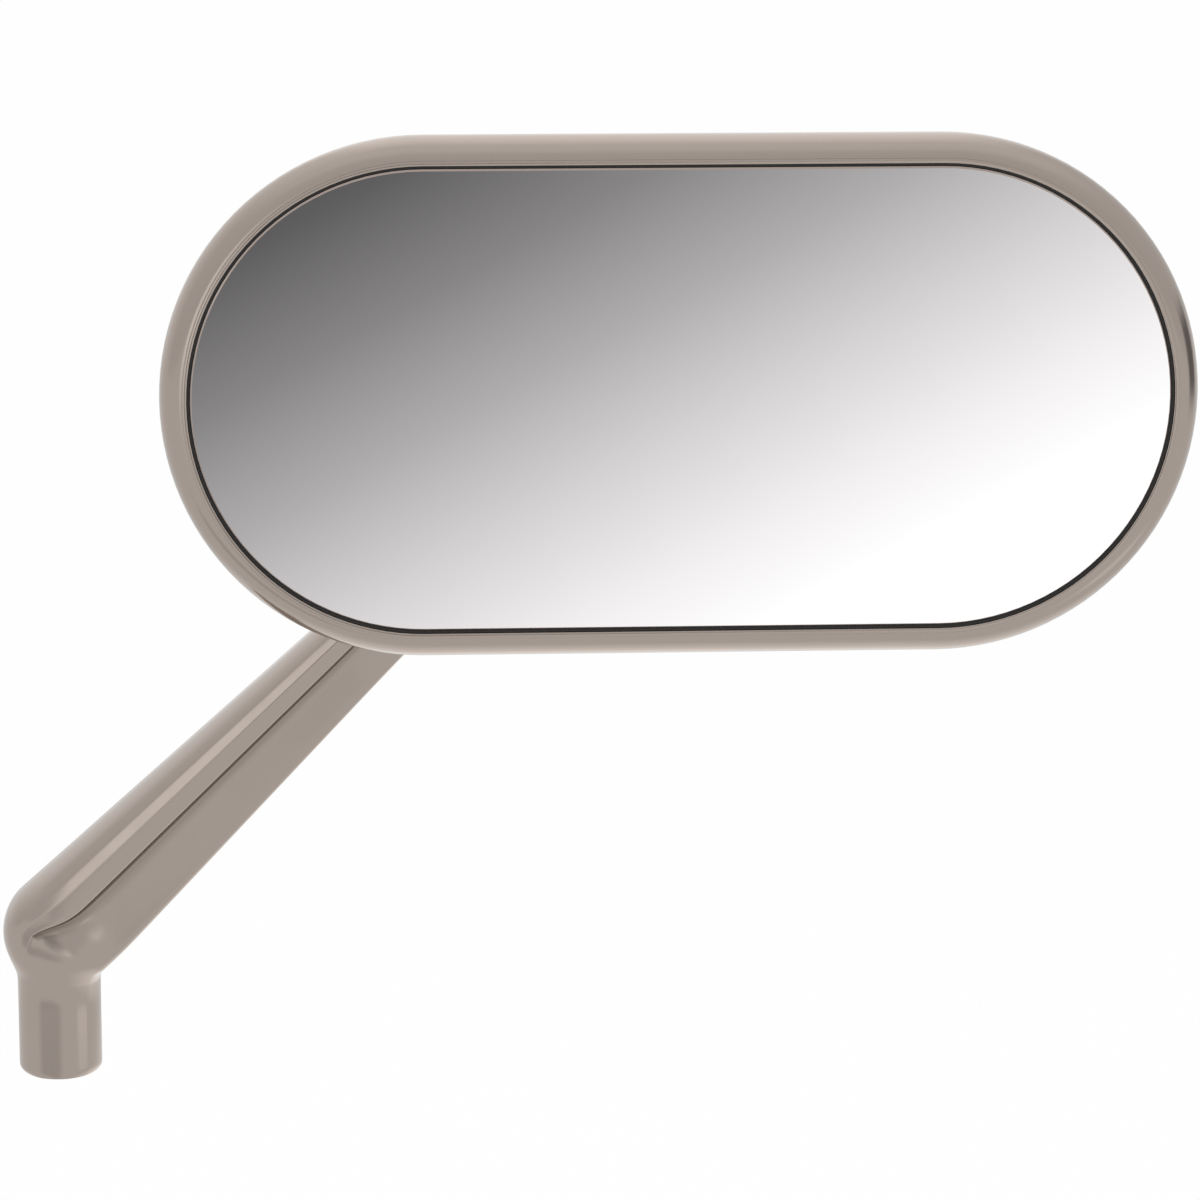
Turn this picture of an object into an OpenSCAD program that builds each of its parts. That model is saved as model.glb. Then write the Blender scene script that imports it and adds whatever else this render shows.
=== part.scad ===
// Left-hand motorcycle mirror: a racetrack-shaped head on a ball joint, carried by a
// one-piece ridged arm whose boss takes the mounting stud.
// Origin: centre of the boss's bottom face. +Z up, +X towards the head, -Y towards the rider.

/* [Mirror glass] */
// Width of the mirror glass
glass_w = 165; // [156:1:174]
// Height of the mirror glass
glass_h = 78; // [75:1:82]
// Thickness of the mirror glass
glass_t = 2; // [1.8:0.1:2.2]
// Bevel round the edge of the glass
glass_bevel = 0.35; // [0.2:0.05:0.6]

/* [Head shell] */
// Joint between the glass and the shell's lip, which the seal fills
rim_gap = 0.5; // [0.4:0.05:0.8]
// Width of the flat lip round the glass
lip_w = 0.85; // [0.6:0.05:1.4]
// How far the lip stands in front of the glass
lip_proud = 0.15; // [0:0.05:0.4]
// Step from the lip down to the flank
lip_step = 0.3; // [0.2:0.05:0.6]
// Width of the flank that curves out from the lip to the widest section
flank_w = 3.6; // [2.8:0.1:4.6]
// Depth of the widest section behind the glass
flank_d = 5.5; // [5:0.1:6.5]
// Depth of the shell behind the glass
shell_d = 18.5; // [18:0.1:19.2]
// Thickness of the shell's back wall
shell_wall = 2.2; // [1.8:0.1:2.6]
// Width of the ledge that carries the glass carrier
ledge_w = 2.3; // [1.8:0.1:3]

/* [Glass carrier] */
// Thickness of the foam bonding pad
pad_t = 0.8; // [0.6:0.1:1]
// Thickness of the carrier plate
carrier_t = 1.4; // [1.2:0.1:1.6]
// Distance of the carrier screws from the middle, along the head
carrier_screw_x = 52; // [46:1:56]
// Distance of the carrier screws from the middle, across the head
carrier_screw_z = 24; // [20:1:26]

/* [Ball joint] */
// Radius of the ball
ball_r = 5.5; // [5.2:0.05:5.7]
// Thickness of the liner shells round the ball
liner_t = 1.42; // [1.3:0.02:1.5]
// Running clearance at each spherical face
ball_clear = 0.08; // [0.05:0.01:0.1]
// Depth of the ball's centre behind the glass
ball_d = 16.5; // [16.3:0.1:17]
// Radius of the ball stud's neck
neck_r = 2.75; // [2.4:0.05:2.9]
// Radius of the mouth that the neck leaves the socket by
mouth_r = 5.5; // [5.3:0.1:5.8]
// Outer radius of the socket boss
socket_r = 11.5; // [11:0.1:12.5]
// How far the socket boss reaches behind the ball's centre
socket_back = 6.5; // [6:0.1:7]
// Thickness of a disc spring's plate
spring_t = 0.6; // [0.5:0.05:0.65]
// Dish height of a disc spring
spring_rise = 0.3; // [0.25:0.05:0.4]
// Thickness of the pressure plate
plate_t = 1.5; // [1.3:0.1:1.6]
// Pitch radius of the pressure plate's screws
plate_screw_pitch = 14; // [13.6:0.1:14.6]

/* [Arm] */
// Diameter of the boss
boss_d = 14.8; // [14:0.1:16]
// Round on the boss's bottom edge
boss_round = 1.4; // [0.8:0.1:2]
// Radius of the threaded bore's wall, for an 8 mm class mirror stud
bore_r = 3.4; // [3.3:0.05:3.6]
// Depth of the threaded bore
bore_depth = 16; // [14:1:18]
// Place of the elbow's centre along X
elbow_x = 0.8; // [0.2:0.1:1.4]
// Height of the elbow's centre
elbow_z = 25.5; // [24.5:0.1:27]
// Radius of the elbow, seen from the front
elbow_r = 10.55; // [10.2:0.05:11]
// Loss of half-width for each millimetre along the arm
arm_taper = 0.0448; // [0.03:0.002:0.06]
// Fillet in the inner corner between the boss and the arm
inner_fillet = 3; // [2.5:0.1:3.6]
// Height of the ridge's crest in front of the arm's middle plane, at the elbow
crest_h = 9; // [8.6:0.1:9.6]
// Height of the recessed floor in front of the middle plane, at the elbow
floor_h = 7.2; // [6.9:0.1:7.5]
// Height of the back behind the middle plane, at the elbow
back_h = 7.4; // [7:0.1:8]
// Radius of the end pad that the ball stud is bolted to
eye_r = 9.5; // [9:0.1:10.5]
// Thickness of the end pad
eye_t = 11; // [10.4:0.1:11.6]
// Depth of the nut's counterbore in the back of the end pad
nut_sink = 4; // [3.6:0.1:4.4]

/* [Place of the head] */
// Distance of the head's centre from the boss's axis, along X
head_x = 108.2; // [102:0.2:114]
// Height of the head's centre above the boss's bottom face
head_z = 125.6; // [120:0.2:132]
// Distance from the glass back to the arm's middle plane
head_setback = 37; // [36.6:0.1:39]
// Angle by which the arm aims above the centre of the end pad
arm_aim = 1.3; // [0.6:0.1:2]

/* [Stud hardware] */
// Radius of the ball stud's threaded shank
shank_r = 3; // [2.8:0.05:3.1]
// Width across flats of the ball stud's hexagon and the nut
hex_af = 10; // [9.6:0.1:10.4]
// Thickness of the ball stud's hexagon
hex_t = 3; // [2.6:0.1:3.4]
// Thickness of the flat washer
washer_t = 1; // [0.8:0.1:1.2]
// Thickness of the spring washer
lock_t = 1.4; // [1.2:0.1:1.6]

/* [Hidden] */
$fn = 64;
seat_clear = 0.05;
thread_clear = 0.06;
edge_break = 0.6;

// The head: radii are measured from the racetrack's centre line, depths from the glass's face
glass_r = glass_h / 2;
half_run = (glass_w - glass_h) / 2;
carrier_front = glass_t + pad_t;
pad_margin = 2;
seal_in = 0.4;
seal_out = 0.25;
ledge_d = carrier_front + carrier_t;
lip_in = glass_r + rim_gap;
lip_out = lip_in + lip_w;
shell_r = lip_out + flank_w;
cavity_r = lip_in - ledge_w;
cavity_d = shell_d - shell_wall;

// The ball joint, in depths behind the glass's face
liner_in = ball_r + ball_clear;
liner_out = liner_in + liner_t;
seat_r = liner_out + ball_clear;
liner_gap = 0.8;
liner_reach = 3.3;
plate_room = 0.5;
preload_gap = 0.3;
post_step = 0.6;
cup_wall = 2;
cup_bore_r = seat_r + cup_wall;
guide_clear = 0.1;
plate_front = ledge_d + plate_room;
plate_back = plate_front + plate_t;
socket_front = plate_back + preload_gap;
socket_l = ball_d + socket_back - socket_front - post_step;
spring_h = spring_t + spring_rise;
shim_t = 0.3;
cup_front = plate_back + 2 * spring_h + shim_t;
cup_bore_end = ball_d - 2;
cup_back = cup_bore_end - 1.5;
spring_out_r = cup_bore_r - guide_clear;
spring_in_r = 4.6;
post_r = 3.2;
plate_r = plate_screw_pitch + post_r;
post_sink = 0.6;
ledge_post_l = 9;
hole_room = 0.5;
plate_screw_r = 1.5;
plate_head_r = 2.75;
plate_hole_r = 2;
carrier_screw_r = 1.25;
carrier_head_r = 2.3;
carrier_screw_l = 7;
plate_screw_l = 8;

// The arm: t runs along its axis from the elbow's centre, w across it to the upper left
boss_r = boss_d / 2;
elbow = [elbow_x, elbow_z];
head = [head_x, head_z];
arm_angle = atan2(head_z - elbow_z, head_x - elbow_x) + arm_aim;
along = [cos(arm_angle), sin(arm_angle)];
across = [-sin(arm_angle), cos(arm_angle)];
taper_k = sqrt(1 + arm_taper * arm_taper);
half_w0 = elbow_r * taper_k;
eye_t_pos = (head - elbow) * along;
eye_w_pos = (head - elbow) * across;
eye_half = eye_t / 2;
pad_face = eye_half - 0.1;
pad_step = 1.2;
stud_reach = head_setback - ball_d - eye_half;

// The stud hardware in the end pad, measured back from the ball's centre
corner_r = hex_af / sqrt(3);
nut_well_r = corner_r + 0.7;
washer_r = nut_well_r - 0.4;
lock_r = washer_r - 0.7;
lock_slit = 0.7;
well_floor = stud_reach + eye_t - nut_sink;
nut_start = well_floor + washer_t + lock_t;
nut_h = 5;
nut_dome = 4;
dome_r = 0.46 * hex_af;
stud_chamfer = 0.5;
stud_l = nut_start + nut_h - stud_reach + stud_chamfer;

// Centre of the inner fillet, which the sections of the bend turn about
bend_t = (boss_r + inner_fillet - elbow_x - (half_w0 + inner_fillet * taper_k) * sin(arm_angle))
    / (cos(arm_angle) - arm_taper * sin(arm_angle));
bend_w = arm_taper * bend_t - half_w0 - inner_fillet * taper_k;
bend = elbow + bend_t * along + bend_w * across;
bend_angle = 90 - arm_angle;
to_elbow = elbow - bend;

// Where the ridge starts, as a share of the bend, and where the flare to the end pad starts
ridge_start = 0.7;
ridge_hook = 2.6;
flare_start = 75;
fade_run = 26;
loft_inset = 0.3;
bend_steps = 16;
flare_steps = 8;
neck_blend = 2.2;
neck_run = 4.2;
neck_z = bend[1] - neck_run;
bend_run = norm(to_elbow) * bend_angle * PI / 180;
bend_end = neck_run + bend_run;
form_start = 8;
form_end = bend_end + 8;
notch_cut = 0.35;

function smooth(x) = let (c = min(1, max(0, x))) c * c * (3 - 2 * c);
function mix(a, b, k) = a + (b - a) * k;
function hermite(x, y0, m0, y1, m1) =
    (2 * x * x * x - 3 * x * x + 1) * y0 + (x * x * x - 2 * x * x + x) * m0
    + (3 * x * x - 2 * x * x * x) * y1 + (x * x * x - x * x) * m1;
function bezier(p, k) =
    pow(1 - k, 3) * p[0] + 3 * pow(1 - k, 2) * k * p[1] + 3 * (1 - k) * k * k * p[2] + k * k * k * p[3];

// Half-width of the arm on one side, which flares to the end pad behind the head
function half_width(t, side) =
    let (
        run = eye_t_pos - flare_start,
        start = half_w0 - arm_taper * flare_start,
        end = eye_r - loft_inset + side * eye_w_pos
    )
    t < flare_start
        ? half_w0 - arm_taper * t
        : hermite((t - flare_start) / run, start, -arm_taper * run, end, 0);

// Larger of two lengths, with the corner between them filled by a small fillet
function soft_max(a, b, k) = max(a, b) + pow(max(k - abs(a - b), 0), 2) / (4 * k);

// Distance from the bend's centre to the elbow's outer face, at one angle of the bend
function outer_reach(a) =
    let (
        dir = [-cos(a), sin(a)],
        near = to_elbow * dir,
        round_reach = near + sqrt(max(0, near * near - to_elbow * to_elbow + elbow_r * elbow_r)),
        boss_reach = (bend[0] + boss_r) / cos(a)
    )
    a < bend_angle / 2 ? soft_max(round_reach, boss_reach, neck_blend) : round_reach;

// Outline of the ridged bar as [w, f] points, f towards the rider. lo and hi are its two sides,
// top the crest's height, bed the floor's, back the back's and edge the ridge edge's place.
function bar_outline(lo, hi, top, bed, back, edge) =
    let (
        s = (hi - lo) / 2 / half_w0,
        back_round = 4.5 * s,
        front_round = 4.6 * s,
        rim_h = top - 0.7 * s,
        lip_h = top - 0.55 * s,
        cove_w = 2 * s,
        corner = 1.1 * s,
        crest_w = min(5.4 * s, hi - 4 * s - edge),
        rear_left = [for (a = [-90:18:0]) [hi - back_round + back_round * cos(a), back * sin(a)]],
        front_left = [for (a = [13:13:65]) [hi - front_round + front_round * cos(a), rim_h * sin(a)]],
        crest = [
            [edge + crest_w, top - 0.14 * s],
            [edge + 0.9 * crest_w, top - 0.02 * s],
            [edge + 0.8 * crest_w, top],
            [edge + 0.65 * crest_w, top - 0.05 * s],
            [edge + 0.33 * crest_w, top - 0.29 * s],
            [edge, lip_h]
        ],
        cove = [
            for (i = [1:cove_steps])
            let (a = 90 * i / cove_steps)
            [edge - 0.08 * s - cove_w * (1 - cos(a)), mix(lip_h, bed, sin(a))]
        ],
        floor = [for (k = [0.25, 0.5, 0.75, 1]) [mix(edge - cove_w, lo + corner, k), bed]],
        front_right = [for (a = [60:-30:0]) [lo + corner - corner * cos(a), bed - corner * (1 - sin(a))]],
        side = [for (k = [0.75, 0.5, 0.25]) [lo, (bed - corner) * k]],
        rear_right = [for (a = [0:18:90]) [lo + back_round * (1 - cos(a)), -back * sin(a)]],
        rear = [for (k = [0.33, 0.67]) [mix(lo + back_round, hi - back_round, k), -back]]
    )
    concat(rear_left, front_left, crest, cove, floor, front_right, side, rear_right, rear);

// Point of a round section of the same width and heights, in the direction of p. n is 2 for an
// ellipse and larger for a fuller outline.
function round_point(p, half, top, back, n) =
    let (a = atan2(p[1], p[0]), height = p[1] > 0 ? top : back)
    [cos(a), sin(a)] / pow(pow(abs(cos(a)) / half, n) + pow(abs(sin(a)) / height, n), 1 / n);

// How deep the notch at the ridge's low end is cut at each point of the outline
function notch_depth(i) =
    i > edge_index && i <= edge_index + cove_steps ? sin(180 * (i - edge_index) / (cove_steps + 1)) : 0;

// Section at one place of the path from the boss, up through the bend and along the arm.
// path is the way covered along the middle since the boss's round part ended, out the share of
// the arm's length that is behind, and fade how far the recess has run out.
function section(lo, hi, path, edge = 0, notch = 0, out = 0, fade = 0) =
    let (
        grown = smooth(path / bend_end),
        top = mix(mix(boss_r, crest_h, grown), pad_face, out),
        bed = mix(mix(boss_r, floor_h, grown), pad_face - pad_step, out),
        back = mix(mix(boss_r, back_h, grown), pad_face, out),
        form = smooth((path - form_start) / (form_end - form_start)),
        mid = [(lo + hi) / 2, 0],
        outline = bar_outline(lo, hi, top, bed, back, edge)
    )
    [
        for (i = [0:len(outline) - 1])
        let (
            p = outline[i] - mid,
            cut = (form + (1 - form) * notch * notch_depth(i)) * (1 - fade)
        )
        mid + mix(round_point(p, (hi - lo) / 2, top, back, 2 + grown), p, cut)
    ];

// A section set in space: its plane's origin, its direction across, then the section's points
function placed(from, dir, points) = [
    for (p = points) [from[0] + dir[0] * p[0], -p[1], from[1] + dir[1] * p[0]]
];

function boss_section(z, r) = placed([0, z], [-1, 0], section(-r, r, z - neck_z));

function bend_section(k) =
    let (
        a = bend_angle * k,
        dir = [-cos(a), sin(a)],
        near = to_elbow * dir,
        past = min(1, (1 - k) / (1 - ridge_start))
    )
    placed(bend + near * dir, dir, section(
        inner_fillet - near, outer_reach(a) - near, neck_run + bend_run * k,
        ridge_hook * pow(past, 1.5), k > ridge_start + 0.01 ? notch_cut : 0
    ));

// Section of the straight arm, whose heights change towards the end pad's faces
function arm_section(t) =
    placed(elbow + t * along, across, section(
        -half_width(t, -1), half_width(t, 1), bend_end + t - bend_t, 0, notch_cut,
        t / eye_t_pos, smooth((t - flare_start) / fade_run)
    ));

edge_index = 16;
cove_steps = 6;
straight_t = [1.5, 3, 5, 7.5, 12, 30, 52];
boss_steps = 4;
arm_rings = concat(
    [
        for (a = [0:15:90])
        boss_section(boss_round * (1 - cos(a)), boss_r - boss_round * (1 - sin(a)))
    ],
    [for (i = [0:boss_steps - 1]) boss_section(neck_z + neck_run * i / boss_steps, boss_r)],
    [for (i = [0:bend_steps]) bend_section(i / bend_steps)],
    [for (t = straight_t) arm_section(bend_t + t)],
    [for (i = [0:flare_steps]) arm_section(mix(flare_start - 3, eye_t_pos, i / flare_steps))]
);

// Half profile of the shell: from the back's middle round the outside to the lip, then inside
flank_steps = 9;
dome_steps = 16;
lip_drop = lip_step - lip_proud;
outer_curve = [[shell_r, -flank_d], [shell_r, -flank_d - 5.5], [shell_r / 2, -shell_d], [0, -shell_d]];
inner_curve = [
    [0, -cavity_d], [cavity_r * 0.54, -cavity_d], [cavity_r, -ledge_d - 6], [cavity_r, -ledge_d]
];
shell_profile = concat(
    [for (i = [dome_steps:-1:1]) bezier(outer_curve, i / dome_steps)],
    [
        for (i = [flank_steps:-1:0])
        let (a = 90 * i / flank_steps)
        [lip_out + flank_w * sin(a), -flank_d + (flank_d - lip_drop) * cos(a)]
    ],
    [[lip_out, lip_proud], [lip_in, lip_proud], [lip_in, -ledge_d]],
    [for (i = [dome_steps:-2:0]) bezier(inner_curve, i / dome_steps)]
);

// A closed skin over rings of equally many points
module skin(rings) {
    n = len(rings[0]);
    last = len(rings) - 1;
    polyhedron(
        points = [for (ring = rings) for (p = ring) p],
        faces = concat(
            [[for (i = [0:n - 1]) i]],
            [[for (i = [n - 1:-1:0]) last * n + i]],
            [
                for (r = [0:last - 1]) for (i = [0:n - 1])
                [r * n + i, (r + 1) * n + i, (r + 1) * n + (i + 1) % n]
            ],
            [
                for (r = [0:last - 1]) for (i = [0:n - 1])
                [r * n + i, (r + 1) * n + (i + 1) % n, r * n + (i + 1) % n]
            ]
        )
    );
}

// The head's frame: local X along the head, local Y up, local Z towards the rider
module head_frame(depth = 0) {
    translate([head_x, -head_setback + depth, head_z])
        rotate([90, 0, 0])
            children();
}

// A filled racetrack body, from a half profile that starts and ends on the centre line
module racetrack(profile) {
    n = len(profile);
    for (side = [-1, 1])
        translate([side * half_run, 0, 0])
            rotate([0, 0, -90 * side])
                rotate_extrude(angle = 180)
                    polygon(profile);
    translate([-half_run, 0, 0])
        rotate([90, 0, 90])
            linear_extrude(2 * half_run)
                polygon(concat(profile, [for (i = [n - 2:-1:1]) [-profile[i][0], profile[i][1]]]));
}

// A racetrack ring, from a profile that stays off the centre line
module racetrack_ring(profile) {
    for (side = [-1, 1]) {
        translate([side * half_run, 0, 0])
            rotate([0, 0, -90 * side])
                rotate_extrude(angle = 180)
                    polygon(profile);
        rotate([0, 0, side > 0 ? 0 : 180])
            translate([-half_run, 0, 0])
                rotate([90, 0, 90])
                    linear_extrude(2 * half_run)
                        polygon(profile);
    }
}

// A flat racetrack plate, its front face at z = 0
module racetrack_plate(r, t) {
    translate([0, 0, -t])
        linear_extrude(t)
            union() {
                translate([-half_run, 0]) circle(r);
                translate([half_run, 0]) circle(r);
                translate([-half_run, -r]) square([2 * half_run, 2 * r]);
            }
}

// A washer lying below z = 0
module disc(r_out, r_in, t) {
    translate([0, 0, -t])
        difference() {
            cylinder(r = r_out, h = t);
            translate([0, 0, -1]) cylinder(r = r_in, h = t + 2);
        }
}

// A countersunk screw, its head's face at z = 0 and its shank below
module countersunk_screw(r, head_r, l) {
    key = 0.55 * head_r;
    difference() {
        rotate_extrude() polygon([
            [0, -l], [r - 0.3, -l], [r, -l + 0.3], [r, r - head_r], [head_r, 0], [0, 0]
        ]);
        translate([0, 0, -key]) cylinder(r = key, h = head_r, $fn = 6);
    }
}

module countersunk_hole(r, head_r, t) {
    translate([0, 0, -t - 1]) cylinder(r = r, h = t + 2);
    translate([0, 0, r - head_r]) cylinder(r1 = r, r2 = head_r, h = head_r - r);
    cylinder(r = head_r, h = 1);
}

module at_plate_screws() {
    for (a = [90, 210, 330])
        rotate([0, 0, a])
            translate([plate_screw_pitch, 0, 0])
                children();
}

module at_carrier_screws() {
    for (x = [-1, 1], z = [-1, 1])
        translate([x * carrier_screw_x, z * carrier_screw_z, 0])
            children();
}

// Hexagonal prism by its width across flats
module hexagon(af, h) {
    cylinder(r = af / sqrt(3), h = h, $fn = 6);
}

// Half shell of the spherical liner between two planes, on the ball's centre
module liner_half(low, high) {
    size = 3 * liner_out;
    difference() {
        sphere(liner_out);
        sphere(liner_in);
        translate([-size / 2, -size / 2, high]) cube(size);
        translate([-size / 2, -size / 2, low - size]) cube(size);
    }
}

// One-piece arm: boss, elbow, ridged bar and end pad
module arm() {
    color("#A2968E")
        difference() {
            union() {
                skin(arm_rings);
                translate([head_x, 0, head_z])
                    rotate([90, 0, 0])
                        translate([0, 0, -eye_half])
                            rotate_extrude()
                                polygon([
                                    [0, 0], [eye_r - edge_break, 0], [eye_r, edge_break],
                                    [eye_r, eye_t - edge_break], [eye_r - edge_break, eye_t], [0, eye_t]
                                ]);
            }
            translate([0, 0, -1]) cylinder(r = bore_r, h = bore_depth + 1);
            translate([0, 0, bore_depth - 0.01]) cylinder(r1 = bore_r, r2 = 0.4, h = bore_r * 0.6);
            translate([head_x, 0, head_z])
                rotate([90, 0, 0]) {
                    translate([0, 0, -eye_t]) cylinder(r = shank_r + seat_clear, h = 2 * eye_t);
                    translate([0, 0, -eye_t]) cylinder(r = nut_well_r, h = eye_half + nut_sink);
                }
        }
}

// Steel ball stud: ball, neck, hexagon and threaded shank
module ball_stud() {
    color("#B8B8BA")
        head_frame(ball_d)
            union() {
                sphere(ball_r);
                translate([0, 0, -stud_reach]) cylinder(r = neck_r, h = stud_reach - ball_r * 0.6);
                translate([0, 0, -stud_reach])
                    intersection() {
                        hexagon(hex_af, hex_t);
                        cylinder(r1 = hex_af / 2 + 0.1 + hex_t, r2 = hex_af / 2 + 0.1, h = hex_t);
                    }
                translate([0, 0, -nut_start - nut_h])
                    rotate_extrude() polygon([
                        [0, 0], [shank_r - stud_chamfer, 0], [shank_r, stud_chamfer],
                        [shank_r, stud_l], [0, stud_l]
                    ]);
            }
}

module flat_washer() {
    color("#C4C4C6")
        head_frame(ball_d)
            translate([0, 0, -well_floor])
                disc(washer_r, shank_r + seat_clear, washer_t);
}

// Split spring washer
module spring_washer() {
    color("#8E8E90")
        head_frame(ball_d)
            translate([0, 0, -well_floor - washer_t])
                difference() {
                    disc(lock_r, shank_r + seat_clear, lock_t);
                    rotate([0, 0, 200])
                        translate([0, -lock_slit / 2, -lock_t - 1])
                            cube([lock_r + 1, lock_slit, lock_t + 2]);
                }
}

// Domed cap nut in the end pad's counterbore
module cap_nut() {
    color("#C8C8CA")
        head_frame(ball_d)
            translate([0, 0, -nut_start])
                mirror([0, 0, 1])
                    difference() {
                        union() {
                            intersection() {
                                hexagon(hex_af, nut_h);
                                cylinder(r1 = hex_af / 2 + 0.15, r2 = hex_af / 2 + 0.15 + nut_h, h = nut_h);
                            }
                            rotate_extrude() polygon(concat(
                                [[0, nut_h / 5], [dome_r, nut_h / 5]],
                                [for (a = [0:9:90]) [dome_r * cos(a), nut_h + 0.4 + nut_dome * sin(a)]]
                            ));
                        }
                        translate([0, 0, -1]) cylinder(r = shank_r + thread_clear, h = nut_h + 2);
                    }
}

// Nylon liner shell behind the ball's middle, round the neck
module liner_rear() {
    color("#E6E2D8")
        head_frame(ball_d)
            liner_half(-liner_reach, -liner_gap);
}

// Nylon liner shell in front of the ball's middle
module liner_front() {
    color("#E6E2D8")
        head_frame(ball_d)
            liner_half(liner_gap, liner_out + 1);
}

// Steel cup that presses the front liner on to the ball
module pressure_cup() {
    color("#9A9A9C")
        head_frame(ball_d)
            difference() {
                translate([0, 0, ball_d - cup_back])
                    cylinder(r = spring_out_r, h = cup_back - cup_front);
                sphere(seat_r);
            }
}

module thrust_shim() {
    color("#B4B4B6")
        head_frame(cup_front - shim_t)
            disc(spring_out_r, spring_in_r, shim_t);
}

// One disc spring: a dished washer, its outer edge at z = 0 and its inner edge towards +Z or -Z
module disc_spring() {
    rotate_extrude()
        polygon([
            [spring_in_r, spring_rise], [spring_out_r, 0],
            [spring_out_r, spring_t], [spring_in_r, spring_rise + spring_t]
        ]);
}

// The pair of disc springs stands back to back between the shim and the pressure plate
module disc_spring_inner() {
    color("#6E7074")
        head_frame(cup_front - shim_t)
            disc_spring();
}

module disc_spring_outer() {
    color("#6E7074")
        head_frame(plate_back)
            mirror([0, 0, 1])
                disc_spring();
}

// Steel plate that holds the spring pack, pulled down by three screws
module pressure_plate() {
    color("#A8A8AA")
        head_frame(plate_front)
            difference() {
                translate([0, 0, -plate_t]) cylinder(r = plate_r, h = plate_t);
                translate([0, 0, -plate_t - 1]) cylinder(r = plate_hole_r, h = plate_t + 2);
                at_plate_screws()
                    countersunk_hole(plate_screw_r + thread_clear, plate_head_r + thread_clear, plate_t);
            }
}

module plate_screws() {
    color("#707274")
        head_frame(plate_front)
            at_plate_screws()
                countersunk_screw(plate_screw_r, plate_head_r, plate_screw_l);
}

// Metal bowl of the head, with the ball socket's boss and the screw posts
module head_shell() {
    post_end = cavity_d + post_sink;
    color("#A2968E")
        head_frame()
            difference() {
                union() {
                    racetrack(shell_profile);
                    translate([0, 0, -ball_d - socket_back])
                        rotate_extrude() polygon([
                            [0, 0], [socket_r - edge_break, 0], [socket_r, edge_break],
                            [socket_r, socket_l], [0, socket_l]
                        ]);
                    at_plate_screws()
                        translate([0, 0, -post_end]) cylinder(r = post_r, h = post_end - socket_front);
                    at_carrier_screws()
                        translate([0, 0, -ledge_d - ledge_post_l]) cylinder(r = post_r, h = ledge_post_l);
                }
                translate([0, 0, -cup_bore_end]) cylinder(r = cup_bore_r, h = cup_bore_end);
                translate([0, 0, -ball_d]) sphere(seat_r);
                translate([0, 0, -ball_d - socket_back - 1]) cylinder(r = mouth_r, h = socket_back + 1);
                translate([0, 0, -ball_d - socket_back - 0.01])
                    cylinder(r1 = mouth_r + edge_break, r2 = mouth_r, h = edge_break);
                at_plate_screws()
                    translate([0, 0, -plate_front - plate_screw_l - hole_room])
                        cylinder(r = plate_screw_r + thread_clear, h = plate_screw_l);
                at_carrier_screws()
                    translate([0, 0, -carrier_front - carrier_screw_l - hole_room])
                        cylinder(r = carrier_screw_r + thread_clear, h = carrier_screw_l);
            }
}

// Moulded plate on the shell's ledge that the glass is bonded to
module carrier_plate() {
    color("#2A2A2C")
        head_frame(carrier_front)
            difference() {
                racetrack_plate(lip_in - 3 * seat_clear, carrier_t);
                at_carrier_screws()
                    countersunk_hole(carrier_screw_r + thread_clear, carrier_head_r + thread_clear, carrier_t);
            }
}

module carrier_screws() {
    color("#707274")
        head_frame(carrier_front)
            at_carrier_screws()
                countersunk_screw(carrier_screw_r, carrier_head_r, carrier_screw_l);
}

// Foam pad that bonds the glass to its carrier
module bonding_pad() {
    color("#3A3A3C")
        head_frame(glass_t)
            racetrack_plate(glass_r - pad_margin, pad_t);
}

module mirror_glass() {
    color("#C9CCD0")
        head_frame()
            racetrack([
                [0, -glass_t], [glass_r, -glass_t], [glass_r, -glass_bevel],
                [glass_r - glass_bevel, 0], [0, 0]
            ]);
}

// Black sealing bead between the glass and the lip
module rim_seal() {
    color("#141414")
        head_frame()
            racetrack_ring([
                [glass_r + seat_clear, -carrier_front], [lip_in - seat_clear, -carrier_front],
                [lip_in - seat_clear, -seal_out], [glass_r + seat_clear, -seal_in]
            ]);
}

arm();
ball_stud();
flat_washer();
spring_washer();
cap_nut();
liner_rear();
liner_front();
pressure_cup();
thrust_shim();
disc_spring_inner();
disc_spring_outer();
pressure_plate();
plate_screws();
head_shell();
carrier_plate();
carrier_screws();
bonding_pad();
mirror_glass();
rim_seal();
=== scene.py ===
# %% [markdown]
# # A motorcycle mirror in satin metal
# The object is a left-hand mirror: a racetrack-shaped bowl that holds a flat glass, and one cast
# arm with a ridge along it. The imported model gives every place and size. This script dresses it:
# it makes the two polished castings again with finer surfaces, gives each piece its finish, and
# lights it like a catalogue picture.

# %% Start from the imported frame
import math

import bmesh
import bpy
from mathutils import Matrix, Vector


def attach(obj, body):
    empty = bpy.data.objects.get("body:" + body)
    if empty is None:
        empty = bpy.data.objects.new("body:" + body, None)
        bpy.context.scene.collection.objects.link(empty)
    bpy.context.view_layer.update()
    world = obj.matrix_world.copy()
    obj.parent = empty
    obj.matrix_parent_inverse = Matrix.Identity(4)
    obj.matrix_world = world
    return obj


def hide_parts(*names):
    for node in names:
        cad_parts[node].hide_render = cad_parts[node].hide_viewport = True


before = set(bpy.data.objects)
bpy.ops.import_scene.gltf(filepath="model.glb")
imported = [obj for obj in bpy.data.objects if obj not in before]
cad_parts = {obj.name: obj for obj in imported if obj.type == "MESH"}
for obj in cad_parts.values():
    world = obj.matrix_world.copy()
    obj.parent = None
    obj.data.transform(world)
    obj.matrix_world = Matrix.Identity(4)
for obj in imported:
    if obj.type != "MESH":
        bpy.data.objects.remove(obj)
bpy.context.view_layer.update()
MM = 0.001

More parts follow.
